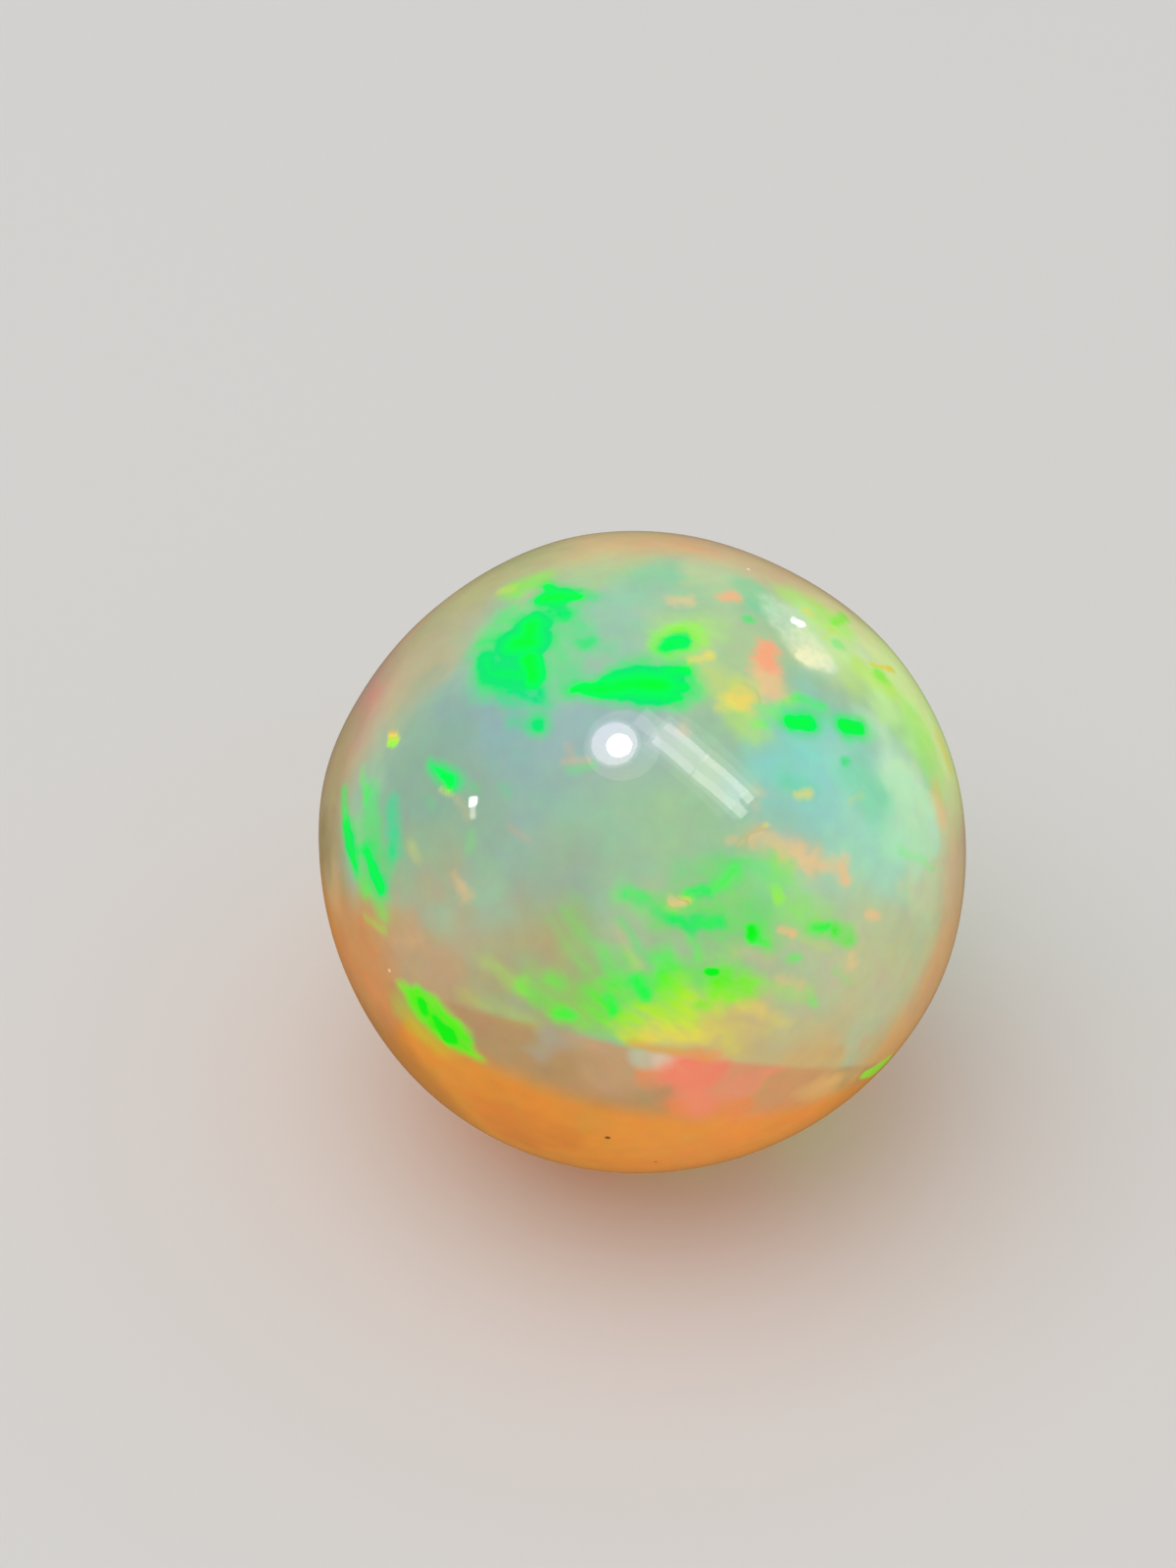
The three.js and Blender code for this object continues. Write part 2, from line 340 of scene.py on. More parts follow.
veils = [
    Stroke("side lobe halo", (494, 664), (500, 694), (36, 44), 518, 24, 0.5),
    Stroke("side lobe halo, upper", (508, 646), (520, 630), (30, 24), 522, 26, 0.5),
    Stroke("tall blob, shadow", (520, 704), (548, 709), (22, 20), 512, 18, 0.85),
    Stroke("tall blob, shadow foot", (520, 716), (560, 718), (18, 14), 511, 22, 0.5),
    Stroke("tall blob, drip", (552, 722), (548, 732), (14, 14), 514, 20, 0.3),
    Stroke("round drop, smear", (522, 737), (542, 740), (12, 13), 512, 16, 0.5),
    Stroke("tall blob, neck", (556, 619), (574, 628), (15, 18), 520, 12, 0.85),
    Stroke("tall blob, right glow", (570, 648), (580, 696), (18, 34), 518, 26, 0.5),
    Stroke("crown glow", (528, 600), (548, 592), (17, 16), 549, 24, 0.52),
    Stroke("crown glow, right", (592, 606), (604, 610), (14, 12), 515, 16, 0.6),
    Stroke("crown mist", (582, 624), (592, 644), (20, 22), 516, 22, 0.55),
    Stroke("faint drop, haze", (604, 662), (624, 661), (14, 12), 516, 18, 0.3),
    Stroke("haloed core, ring", (680, 655), (704, 648), (27, 28), 553, 18, 0.7),
    Stroke("haloed core, haze", (692, 650), (722, 640), (44, 26), 562, 30, 0.3),
    Stroke("bar glow", (702, 690), (710, 706), (22, 22), 522, 20, 0.6),
    Stroke("bar glow, above", (632, 680), (690, 668), (16, 20), 518, 20, 0.4),
    Stroke("bar glow, below", (686, 724), (702, 722), (8, 8), 520, 14, 0.4),
    Stroke("crown dusk", (764, 600), (777, 618), (24, 22), 505, 22, 0.35),
    Stroke("dash glow, arc", (796, 717), (814, 711), (7, 9), 528, 10, 0.5),
    Stroke("dash glow, arc end", (816, 711), (841, 721), (9, 8), 528, 12, 0.5),
    Stroke("dash glow", (800, 728), (838, 730), (22, 22), 526, 22, 0.3),
    Stroke("dash glow, right", (866, 742), (884, 741), (26, 24), 526, 20, 0.38),
    Stroke("dash glow, left", (772, 739), (782, 738), (8, 9), 534, 13, 0.5),
    Stroke("dash glow, lime", (780, 722), (792, 726), (14, 14), 556, 16, 0.4),
    Stroke("yellow flame, haze", (722, 684), (740, 704), (16, 26), 574, 26, 0.45),
    Stroke("yellow flame, upper haze", (756, 699), (770, 703), (20, 20), 578, 20, 0.4),
    Stroke("yellow flame, lower haze", (758, 732), (772, 748), (30, 24), 568, 28, 0.5),
    Stroke("flame fringe", (798, 700), (806, 710), (12, 14), 574, 18, 0.25),
    Stroke("rim band, top", (814, 610), (854, 636), (20, 20), 556, 26, 0.45),
    Stroke("rim band, shoulder", (844, 646), (872, 690), (30, 30), 568, 34, 0.32),
    Stroke("rim band, upper", (872, 684), (905, 712), (30, 36), 566, 32, 0.1),
    Stroke("rim band, crest", (880, 682), (906, 702), (14, 14), 567, 18, 0.5),
    Stroke("rim band, middle", (910, 716), (938, 758), (34, 28), 558, 30, 0.28),
    Stroke("rim band, lower", (938, 745), (954, 792), (26, 22), 545, 28, 0.25),
    Stroke("rim amber, upper", (959, 757), (966, 776), (8, 8), 588, 12, 0.5),
    Stroke("rim amber", (956, 812), (960, 830), (14, 14), 604, 18, 0.5),
    Stroke("pool mint", (872, 792), (894, 815), (34, 38), 512, 34, 0.26),
    Stroke("pool mint, left", (800, 794), (824, 806), (14, 16), 508, 20, 0.3),
    Stroke("teal pane", (400, 822), (403, 868), (13, 15), 508, 18, 0.7),
    Stroke("teal pane, foot", (399, 868), (396, 892), (11, 10), 518, 20, 0.5),
    Stroke("edge glow", (378, 810), (382, 868), (16, 22), 522, 18, 0.5),
    Stroke("edge glow, bridge", (362, 869), (380, 864), (12, 12), 523, 10, 0.65),
    Stroke("edge glow, inner", (362, 850), (372, 900), (16, 16), 530, 18, 0.35),
    Stroke("edge glow, foot", (376, 902), (392, 930), (16, 14), 530, 22, 0.4),
    Stroke("edge glow, hem", (374, 936), (394, 950), (5, 5), 552, 9, 0.35),
    Stroke("pane crumb", (419, 862), (425, 874), (8, 9), 580, 14, 0.28),
    Stroke("lens halo", (438, 780), (466, 798), (12, 16), 520, 16, 0.45),
    Stroke("lens haze", (462, 790), (486, 806), (10, 8), 514, 16, 0.3),
    Stroke("green mote, left", (439, 820), (442, 822), (9, 9), 518, 14, 0.2),
    Stroke("green mote, middle", (514, 803), (516, 807), (10, 10), 514, 14, 0.2),
    Stroke("green mote, low", (480, 850), (480, 864), (8, 8), 545, 14, 0.2),
    Stroke("low lozenge, head", (410, 1006), (431, 1025), (6, 23), 551, 16, 0.84),
    Stroke("low lozenge, body", (431, 1025), (462, 1055), (24, 27), 543, 16, 0.9),
    Stroke("low lozenge, foot", (462, 1055), (488, 1079), (26, 5), 549, 16, 0.82),
    Stroke("low lozenge, haze", (412, 1032), (446, 1064), (20, 18), 551, 26, 0.26),
    Stroke("low lozenge, upper flank", (444, 1020), (474, 1050), (10, 10), 556, 14, 0.36),
    Stroke("arc, left", (496, 982), (532, 1006), (9, 14), 560, 20, 0.3),
    Stroke("arc, middle", (532, 1006), (572, 1032), (12, 16), 545, 16, 0.45),
    Stroke("arc, right", (572, 1034), (640, 1048), (18, 30), 549, 22, 0.55),
    Stroke("arc, lower left", (472, 1014), (544, 1042), (10, 13), 566, 22, 0.22),
    Stroke("arc, haze", (546, 1000), (610, 1022), (24, 34), 546, 30, 0.28),
    Stroke("middle drop, haze", (606, 1014), (622, 1028), (26, 26), 538, 22, 0.4),
    Stroke("arc, spot", (564, 999), (570, 1000), (14, 14), 538, 16, 0.4),
    Stroke("slant, upper", (578, 930), (632, 1000), (7, 12), 530, 18, 0.3),
    Stroke("slant, lower", (633, 940), (662, 978), (6, 8), 522, 12, 0.45),
    Stroke("slant, third", (560, 938), (598, 990), (6, 9), 530, 14, 0.2),
    Stroke("slant, haze", (585, 928), (600, 990), (26, 26), 530, 34, 0.12),
    Stroke("slant, tan", (630, 948), (650, 984), (6, 8), 601, 14, 0.3),
    Stroke("slant, column", (620, 972), (626, 998), (16, 20), 540, 20, 0.42),
    Stroke("slant, column, right", (642, 978), (646, 992), (18, 20), 544, 20, 0.45),
    Stroke("slant, pool", (678, 977), (676, 1004), (24, 24), 535, 20, 0.6),
    Stroke("slant, right", (704, 956), (712, 976), (8, 9), 532, 15, 0.5),
    Stroke("spray base", (636, 1020), (672, 1016), (44, 42), 548, 30, 0.6),
    Stroke("spray base, low", (636, 1042), (664, 1040), (24, 24), 579, 24, 0.6),
    Stroke("cap", (744, 896), (790, 888), (36, 38), 545, 32, 0.36),
    Stroke("cap, crest", (752, 880), (792, 880), (12, 16), 541, 20, 0.22),
    Stroke("cap, right", (796, 890), (818, 925), (30, 30), 556, 32, 0.3),
    Stroke("cap, left glow", (700, 892), (732, 884), (26, 26), 518, 30, 0.4),
    Stroke("left barb, haze", (636, 914), (662, 926), (20, 18), 530, 24, 0.35),
    Stroke("spray field", (684, 932), (764, 938), (34, 42), 540, 34, 0.5),
    Stroke("spray field, right", (800, 930), (842, 940), (34, 28), 547, 34, 0.32),
    Stroke("spray dash, outer", (828, 946), (848, 948), (17, 17), 540, 13, 0.45),
    Stroke("spray dash, shadow", (856, 951), (866, 956), (20, 22), 541, 14, 0.6),
    Stroke("spray core, haze", (774, 952), (786, 964), (18, 20), 544, 20, 0.35),
    Stroke("spray middle, lime", (716, 976), (748, 974), (16, 16), 552, 22, 0.35),
    Stroke("spray hem", (817, 956), (848, 969), (4, 5), 570, 9, 0.35),
    Stroke("spray seed, haze", (738, 1000), (762, 1008), (30, 28), 549, 24, 0.75),
    Stroke("spray seed, glow", (726, 1012), (752, 1016), (14, 12), 556, 14, 0.75),
    Stroke("spray seed, left", (692, 996), (730, 1002), (28, 28), 545, 24, 0.6),
    Stroke("spray seed, far haze", (770, 1004), (824, 1014), (18, 14), 556, 24, 0.35),
    Stroke("lime patch", (690, 1014), (698, 1036), (30, 34), 567, 22, 0.9),
    Stroke("lime patch, left", (662, 1030), (684, 1038), (22, 30), 568, 20, 0.7),
    Stroke("lime patch, right", (706, 1018), (736, 1028), (18, 18), 567, 22, 0.6),
    Stroke("gold seam", (664, 1052), (712, 1056), (20, 22), 584, 16, 0.92),
    Stroke("gold seam, corner", (640, 1056), (660, 1058), (14, 14), 590, 14, 0.8),
    Stroke("gold seam, right", (722, 1034), (746, 1068), (22, 26), 580, 28, 0.45),
    Stroke("amber edge", (642, 1063), (726, 1078), (8, 9), 594, 8, 0.9),
    Stroke("amber haze", (756, 1026), (776, 1030), (12, 10), 588, 16, 0.6),
    Stroke("amber haze, tail", (778, 1034), (806, 1044), (10, 8), 587, 18, 0.4),
    Stroke("olive fold", (745, 1044), (786, 1052), (12, 12), 582, 24, 0.25),
    Stroke("salmon cloud, haze", (772, 856), (826, 878), (28, 34), 596, 28, 0.35),
    Stroke("rose field", (755, 972), (785, 978), (12, 10), 604, 18, 0.25),
    Stroke("salmon glow, left", (679, 1096), (690, 1093), (20, 28), 620, 22, 0.6),
    Stroke("salmon glow", (697, 1095), (715, 1093), (32, 38), 625, 22, 0.9),
    Stroke("salmon glow, lower", (708, 1108), (714, 1130), (38, 32), 620, 30, 0.85),
    Stroke("rim blush", (378, 708), (382, 713), (14, 16), 622, 26, 0.2),
    Stroke("inner blush", (576, 778), (598, 777), (4, 5), 610, 10, 0.3),
    Stroke("inner blush, stem", (578, 760), (584, 774), (5, 4), 610, 9, 0.25),
    Stroke("inner glint", (580, 786), (605, 782), (4, 7), 540, 11, 0.3),
    Stroke("heart thread", (520, 842), (541, 857), (3, 4), 620, 8, 0.2),
    Stroke("pale thread, upper", (914, 862), (946, 876), (3, 3), 532, 5, 0.3),
    Stroke("pale thread, middle", (918, 870), (953, 886), (4, 3), 532, 5, 0.4),
    Stroke("pale thread, lower", (850, 990), (868, 1003), (4, 3), 526, 8, 0.35),
]

Domain = namedtuple("Domain", "start end widths nanometres edge strength")
photo_scale = photo_pixel / MM
narrowest_view = 0.3


def true_width(stroke, place, width):
    """A stroke's width on the stone, where the ball turns away from the viewer, in millimetres."""
    run = Vector((stroke.end[0] - stroke.start[0], stroke.end[1] - stroke.start[1]))
    across = Vector((-run.y, run.x)).normalized()
    outward = Vector((place.dot(to_right), -place.dot(to_top))).normalized()
    facing = max(place.dot(to_viewer), narrowest_view)
    turned = across.dot(outward)
    return width * photo_scale * math.sqrt(1 - turned**2 + (turned / facing) ** 2)


def seen_domain(stroke):
    """A stroke that was read from the photograph, laid on the ball."""
    start, end = on_ball(*stroke.start), on_ball(*stroke.end)
    widths = true_width(stroke, start, stroke.widths[0]), true_width(stroke, end, stroke.widths[1])
    edge = stroke.edge * photo_scale
    return Domain(start, end, widths, stroke.nanometres, edge, stroke.strength)


# The hidden side has the same kinds of domain as the seen face. Each is carried through the
# middle of the ball, turned about the line of sight and drifted, so that no group looks alike.
turn_behind = Matrix.Rotation(math.radians(75), 3, to_viewer)
drift_scale, drift_amount = 1.7, 0.35
least_behind = 0.04
strewn = random.Random(11)
noise.seed_set(11)


def behind(place):
    """The direction on the hidden side that answers to one on the seen face."""
    return -(turn_behind @ place)


def hidden_domains(seen):
    """The domains of the hidden side."""
    made = []
    for domain in seen:
        ends = [behind(place) for place in (domain.start, domain.end)]
        ends = [(end + noise.noise_vector(end * drift_scale) * drift_amount).normalized() for end in ends]
        nanometres = domain.nanometres + strewn.uniform(-3, 4)
        if max(end.dot(to_viewer) for end in ends) < -least_behind:
            made.append(domain._replace(start=ends[0], end=ends[1], nanometres=nanometres))
    return made


flash_domains = [seen_domain(stroke) for stroke in flashes]
flash_domains += hidden_domains(flash_domains)
veil_domains = [seen_domain(stroke) for stroke in veils]
veil_domains += hidden_domains(veil_domains)

# The ball's points, in millimetres from its middle. They wander a little, in wide and in narrow
# waves, which leaves every domain with an uneven outline. The softer it is, the more uneven.
points = np.empty(len(ball_mesh.vertices) * 3)
ball_mesh.vertices.foreach_get("co", points)
points = (points.reshape(-1, 3) - np.array(ball_centre)) / MM
points *= (ball_radius / MM) / np.linalg.norm(points, axis=1, keepdims=True)
wide_wave, wide_wander = 0.45, 0.035
narrow_wave, narrow_wander = 0.16, 0.014
wide = np.array([noise.noise_vector(Vector(point) / wide_wave) for point in points])
narrow = np.array([noise.noise_vector(Vector(point) / narrow_wave) for point in points])
soft_wander = 0.16  # in narrow waves, per millimetre of a domain's soft edge
points += wide * wide_wander


def measure(domain):
    """Each point's distance from a domain's middle line and the half width there, in millimetres."""
    start = np.array(domain.start) * ball_radius / MM
    run = np.array(domain.end) * ball_radius / MM - start
    way = points + narrow * (narrow_wander + soft_wander * domain.edge) - start
    along = np.clip(way @ run / (run @ run), 0, 1)
    distance = np.linalg.norm(way - along[:, None] * run, axis=1)
    return distance, (domain.widths[0] + (domain.widths[1] - domain.widths[0]) * along) / 2


def cover(domain):
    """How much a soft domain covers at each point."""
    distance, half = measure(domain)
    share = np.clip((half - distance) / domain.edge + 0.5, 0, 1)
    return share * share * (3 - 2 * share) * domain.strength


def store(name, values):
    """Keeps a number or a colour for each point of the ball, for its material to read."""
    kind, field = ("FLOAT", "value") if values.ndim == 1 else ("FLOAT_VECTOR", "vector")
    kept = ball_mesh.attributes.new(name, kind, "POINT").data
    kept.foreach_set(field, values.ravel().astype(np.float32))


# Where crisp flashes meet, the deeper one leads, and they run together over a hair's breadth.
merging = 0.03
off_line, half_width = np.stack([measure(domain) for domain in flash_domains], axis=1)
depths = half_width - off_line
deepest = depths.max(axis=0)
lead = np.exp((depths - deepest) / merging)
lead /= lead.sum(axis=0)
store("flash_depth", deepest)
store("flash_off_line", (off_line * lead).sum(axis=0))
store("flash_nanometres", np.array([domain.nanometres for domain in flash_domains]) @ lead)
store("flash_edge", np.array([domain.edge for domain in flash_domains]) @ lead)
store("flash_strength", np.array([domain.strength for domain in flash_domains]) @ lead)

# Veils lie over each other, and each adds its share of colour to what shows.
veil_shares = [cover(domain) for domain in veil_domains]
veil_waves = [domain.nanometres for domain in veil_domains]

# Each crisp green flash has a short halo, which is a bluer veil.
halo_reach, halo_strength, halo_nanometres = 0.16, 0.55, 517
longest_green, softest_crisp = 538, 0.1
haloed = [d.nanometres < longest_green and d.edge < softest_crisp for d in flash_domains]
closeness = np.clip(1 + depths[haloed].max(axis=0) / halo_reach, 0, 1)
veil_shares.append(closeness * closeness * (3 - 2 * closeness) * halo_strength)
veil_waves.append(halo_nanometres)
shares = np.stack(veil_shares)
least = 1e-6
tints = np.array([seen_colour(wave) for wave in veil_waves])
store("veil_amount", 1 - np.prod(1 - shares, axis=0))
store("veil_colour", (shares + least).T @ tints / (shares + least).sum(axis=0)[:, None])

# One shallow patch near the top right is finely pebbled under the polish, and a painted reflection whitens it.
glare_and_pebble_patch = [
    Stroke("frosted patch, head", (786, 612), (800, 630), (12, 26), 0, 15, 0.45),
    Stroke("frosted patch", (800, 628), (822, 658), (27, 30), 0, 14, 0.55),
    Stroke("frosted patch, lip", (786, 634), (822, 674), (3, 5), 0, 5, 0.5),
    Stroke("frosted patch, cream foot", (826, 670), (842, 673), (21, 18), 0, 10, 0.9),
]
glare_and_pebbling = np.zeros(len(points))
for stroke in glare_and_pebble_patch:
    glare_and_pebbling = np.maximum(glare_and_pebbling, cover(seen_domain(stroke)))
store("glare_and_pebbling", glare_and_pebbling)


# Precious opal, hydrated silica: a milky body that scatters light, under a glassy polish, with a
# faint painted glow of its own colour that makes it look soft and lit from within. Its haze is blue to
# grey-green; the peach rim and orange base are painted light, what has passed right through it.
precious_opal.use_nodes = True
opal = precious_opal.node_tree
opal.nodes.clear()
coordinates = add(opal, "ShaderNodeTexCoord").outputs["Object"]
from_centre = add(opal, "ShaderNodeVectorMath", {0: coordinates, 1: ball_centre}, operation="SUBTRACT")
per_radius = {0: from_centre.outputs[0], "Scale": 1 / ball_radius}
on_stone = add(opal, "ShaderNodeVectorMath", per_radius, operation="SCALE").outputs[0]

# The haze lies in clouds about 2 mm across with wisps of half a millimetre.
cloud_size = 2.2 * MM / ball_radius
cloud = add(opal, "ShaderNodeTexNoise", {"Vector": on_stone, "Scale": 1 / cloud_size, "Detail": 3})
cloud_way = {0: cloud.outputs["Color"], 1: (0.5, 0.5, 0.5)}
cloud_shift = add(opal, "ShaderNodeVectorMath", cloud_way, operation="SUBTRACT")
drift = {0: cloud_shift.outputs[0], 1: (0.16, 0.16, 0.16), 2: on_stone}
hazy = add(opal, "ShaderNodeVectorMath", drift, operation="MULTIPLY_ADD").outputs[0]


def fade(value, start, end, most=1.0):
    """A smooth share that is nothing at start and most at end."""
    span = {"Value": value, "From Min": start, "From Max": end, "To Max": most}
    return add(opal, "ShaderNodeMapRange", span, interpolation_type="SMOOTHSTEP").outputs[0]


def blend(share, under, over):
    """Lays one colour over another."""
    over = linear(over) if isinstance(over, str) else over
    return add(opal, "ShaderNodeMix", {0: share, 6: under, 7: over}, data_type="RGBA").outputs[2]


def times(first, second, **settings):
    """Two numbers or shares, multiplied."""
    return add(opal, "ShaderNodeMath", {0: first, 1: second}, operation="MULTIPLY", **settings).outputs[0]


# A haze is a soft patch of one colour, round a pixel of the photograph. Its reach is in degrees.
Haze = namedtuple("Haze", "name place reach colour strength")


def lay(hazes, under, within=None, spread_over=hazy, moved=Vector):
    """Lays soft patches over a colour, everywhere or only within a mask, where they are or moved."""
    for haze in hazes:
        middle = {0: spread_over, 1: moved(on_ball(*haze.place))}
        near = add(opal, "ShaderNodeVectorMath", middle, operation="DOT_PRODUCT")
        share = fade(near.outputs["Value"], math.cos(math.radians(haze.reach)), 1.0, haze.strength)
        if within is not None:
            share = times(share, within)
        under = blend(share, under, haze.colour)
    return under


body_hazes = [
    Haze("lilac veil", (535, 755), 29, "#8cb0ac", 0.95),
    Haze("lilac veil by the light", (610, 745), 17, "#9cb3b0", 0.7),
    Haze("green heart", (640, 860), 22, "#9dc09a", 0.8),
    Haze("green flank", (450, 865), 22, "#94ae8e", 0.8),
    Haze("grey heart", (525, 885), 15, "#99ab98", 0.6),
    Haze("mint glow", (580, 670), 16, "#9ec8a0", 0.6),
    Haze("teal crown", (665, 592), 28, "#90caa0", 0.9),
    Haze("butter crown", (590, 578), 14, "#bcc690", 0.7),
    Haze("cool crown", (640, 640), 16, "#9cc2ae", 0.6),
    Haze("cyan pool", (834, 780), 21, "#7fd6cc", 1.0),
    Haze("cyan pool, low", (866, 846), 22, "#9cccc2", 0.85),
    Haze("aqua side", (912, 925), 26, "#a4deb6", 0.95),
    Haze("straw shoulder", (868, 1035), 32, "#c6c698", 0.95),
    Haze("straw flank", (420, 1002), 17, "#c69a6a", 0.9),
    Haze("straw flank, low", (520, 1000), 20, "#b0a672", 0.8),
    Haze("rose middle", (700, 970), 14, "#acbc96", 0.6),
    Haze("khaki shoulder", (425, 650), 22, "#b6b690", 0.9),
    Haze("rose shoulder", (392, 712), 18, "#b8b08e", 0.8),
    Haze("grey flank", (430, 770), 15, "#8cae9c", 0.7),
    # Painted light in part: the lime shoulder and lime side are lighter than the stone's tint, to offset the shade on
    # this side.
    Haze("lime shoulder", (882, 670), 22, "#dcf6c6", 0.9),
    Haze("mint side", (908, 800), 22, "#a2dcc0", 0.95),
    Haze("straw side", (960, 866), 12, "#ccd4a4", 0.8),
    Haze("lime side", (914, 733), 18, "#e4ffc6", 1.0),
    Haze("mint side, low", (918, 808), 11, "#b8eac0", 0.85),
    Haze("straw crown, right", (752, 590), 12, "#c6cc9c", 0.7),
    Haze("gold hem", (785, 1072), 19, "#d8b478", 0.85),
    Haze("gold hem end", (866, 1080), 9, "#d4ac6c", 0.7),
    Haze("khaki flank", (466, 945), 17, "#bea27e", 0.9),
    Haze("yellow pocket", (735, 660), 18, "#b4cc96", 0.8),
]
milky = linear("#9dbf9e")
facing = add(opal, "ShaderNodeVectorMath", {0: hazy, 1: to_viewer}, operation="DOT_PRODUCT").outputs["Value"]
colour = blend(fade(facing, 0.1, -0.3), lay(body_hazes, milky), lay(body_hazes, milky, moved=behind))

# Peach rim, painted light: the warm light that has passed through the stone and shows at its edge is
# painted as a warmer belt that runs round the stone and begins a little inside the seen outline.
# Behind, it breaks up into clouds.
rim_start, rim_end = 0.53, 0.33
belt = fade(facing, -0.5, -0.05)
broken = {0: belt, 1: fade(cloud.outputs["Fac"], 0.42, 0.7, 0.7)}
# How much of the painted warm edge light shows.
rim = times(fade(facing, rim_start, rim_end, 0.95), add(opal, "ShaderNodeMath", broken, operation="MAXIMUM").outputs[0])
painted_rim_light = lay(
    [
        Haze("rose rim", (350, 745), 34, "#bc9282", 0.9),
        Haze("straw rim, left", (332, 850), 26, "#b0a272", 0.8),
        Haze("olive rim, low left", (342, 908), 15, "#988450", 0.75),
        Haze("butter rim, top", (600, 552), 28, "#d4be8a", 0.85),
        Haze("khaki rim", (492, 598), 24, "#b2b484", 0.85),
        Haze("peach rim, top", (668, 546), 16, "#e0ae7c", 0.8),
        Haze("amber rim, low right", (935, 1060), 34, "#dcaa72", 0.9),
        # Painted light in part: the lime rim is lightened to offset the shade on this side.
        Haze("lime rim", (925, 705), 30, "#daf6a2", 1.0),
        Haze("gold rim, low right", (872, 1074), 15, "#e0ae62", 0.9),
        Haze("amber rim, bottom right", (850, 1150), 26, "#e0a45c", 0.9),
    ],
    linear("#d4ba92"),
)
colour = blend(rim, colour, painted_rim_light)

# Honey base: a seam low on the front, a mauve-tan band under it, and the orange foot of the stone.
# The band and foot are painted light that has passed through the stone, over its honey tint, and the
# seam is the painted edge where that light refracts.
band_axis = Vector((0.195, 0.569, 0.798)).normalized()
foot_axis = Vector((0.228, 0.082, 0.967)).normalized()
band_top, band_edge = -0.456, 0.016
foot_top, foot_edge = -0.205, 0.065
seen_ripple, hidden_ripple = 0.03, 0.45
growing = {"Value": facing, "From Min": 0.3, "From Max": -0.4, "To Min": seen_ripple, "To Max": hidden_ripple}
ripple_height = add(opal, "ShaderNodeMapRange", growing).outputs[0]
softening = {"Value": facing, "From Min": 0.45, "From Max": -0.15, "To Min": 1.0, "To Max": 0.2}
crispness = add(opal, "ShaderNodeMapRange", softening).outputs[0]
even_cloud = add(opal, "ShaderNodeMath", {0: cloud.outputs["Fac"], 1: 0.5}, operation="SUBTRACT").outputs[0]
wave = times(even_cloud, ripple_height)
masks = []
for axis, top, border in ((band_axis, band_top, band_edge), (foot_axis, foot_top, foot_edge)):
    level = add(opal, "ShaderNodeVectorMath", {0: on_stone, 1: axis}, operation="DOT_PRODUCT")
    waved = add(opal, "ShaderNodeMath", {0: level.outputs["Value"], 1: wave}).outputs[0]
    above = add(opal, "ShaderNodeMath", {0: waved, 1: top}, operation="SUBTRACT").outputs[0]
    masks.append(fade(times(above, crispness), border, -border))
band, foot = masks
painted_band_light = lay(
    [
        Haze("dusk window", (572, 1070), 9, "#b2a890", 0.8),
        Haze("tan band", (632, 1096), 14, "#c8a278", 0.9),
        Haze("rose band", (770, 1106), 18, "#ee9876", 0.9),
        Haze("tan band end", (822, 1098), 9, "#d0a06c", 0.8),
        Haze("orange band", (686, 1130), 11, "#ee9258", 0.95),
        Haze("gold band end", (862, 1100), 10, "#eec074", 0.7),
    ],
    linear("#b8966a"),
)
painted_foot_light = lay(
    [
        Haze("gold foot", (610, 1116), 14, "#d8984a", 0.7),
        Haze("deep foot", (515, 1132), 13, "#d8803c", 0.6),
        Haze("rose flank", (376, 1003), 12, "#cc9070", 0.8),
        Haze("shaded flank", (410, 1080), 18, "#c0803c", 0.7),
        Haze("bright foot", (745, 1150), 27, "#f29c4a", 0.85),
    ],
    linear("#e6963f"),
)
foot_clouds = times(fade(facing, 0.2, -0.2), fade(cloud.outputs["Fac"], 0.44, 0.66, 0.75))
painted_foot_light = blend(foot_clouds, painted_foot_light, "#d0a880")
colour = blend(band, colour, painted_band_light)
colour = blend(foot, colour, painted_foot_light)
# Painted light that has passed through the stone: an orange patch on the low left flank.
colour = lay([Haze("amber flank", (362, 978), 17, "#d49258", 0.85)], colour, spread_over=on_stone)
# A painted highlight: a small whitish gleam under the seam, mint-grey on the left, pinkish-white on the right.
painted_seam_highlight = [
    Haze("grey window", (661, 1078), 4, "#bcc8ac", 0.75),
    Haze("blush window", (684, 1081), 4, "#e8c8b4", 0.75),
]
colour = lay(painted_seam_highlight, colour, within=band, spread_over=on_stone)

# Pearly mottling, a few per cent of each of red, green and blue, at two sizes.
for mottle_size in (1.1 * MM, 0.3 * MM):
    mottle = {"Vector": on_stone, "Scale": ball_radius / mottle_size, "Detail": 2}
    pearl = add(opal, "ShaderNodeTexNoise", mottle).outputs["Color"]
    lift = {0: pearl, 1: (0.2, 0.2, 0.2), 2: (0.9, 0.9, 0.9)}
    lifted_pearl = add(opal, "ShaderNodeVectorMath", lift, operation="MULTIPLY_ADD").outputs[0]
    mixed = {0: 1.0, 6: colour, 7: lifted_pearl}
    colour = add(opal, "ShaderNodeMix", mixed, data_type="RGBA", blend_type="MULTIPLY").outputs[2]

# Two dark specks of the mother rock and a pale one lie just under the polish; one more pale dot, near the top, is a
# painted glint.
Speck = namedtuple("Speck", "place radius colour")
specks_and_glint = [
    Speck((620, 1161), 2.6, "#6e4222"),
    Speck((669, 1186), 1.6, "#7e4e28"),
    Speck((398, 990), 2.2, "#e8c8a8"),
    # A painted glint, not a speck.
    Speck((764, 580), 2.0, "#f0f4dc"),
]
for speck_and_glint in specks_and_glint:
    spread = {0: on_stone, 1: on_ball(*speck_and_glint.place)}
    away = add(opal, "ShaderNodeVectorMath", spread, operation="DISTANCE").outputs["Value"]
    speck_reach = speck_and_glint.radius * photo_pixel / ball_radius
    colour = blend(fade(away, speck_reach * 1.5, speck_reach * 0.5), colour, speck_and_glint.colour)

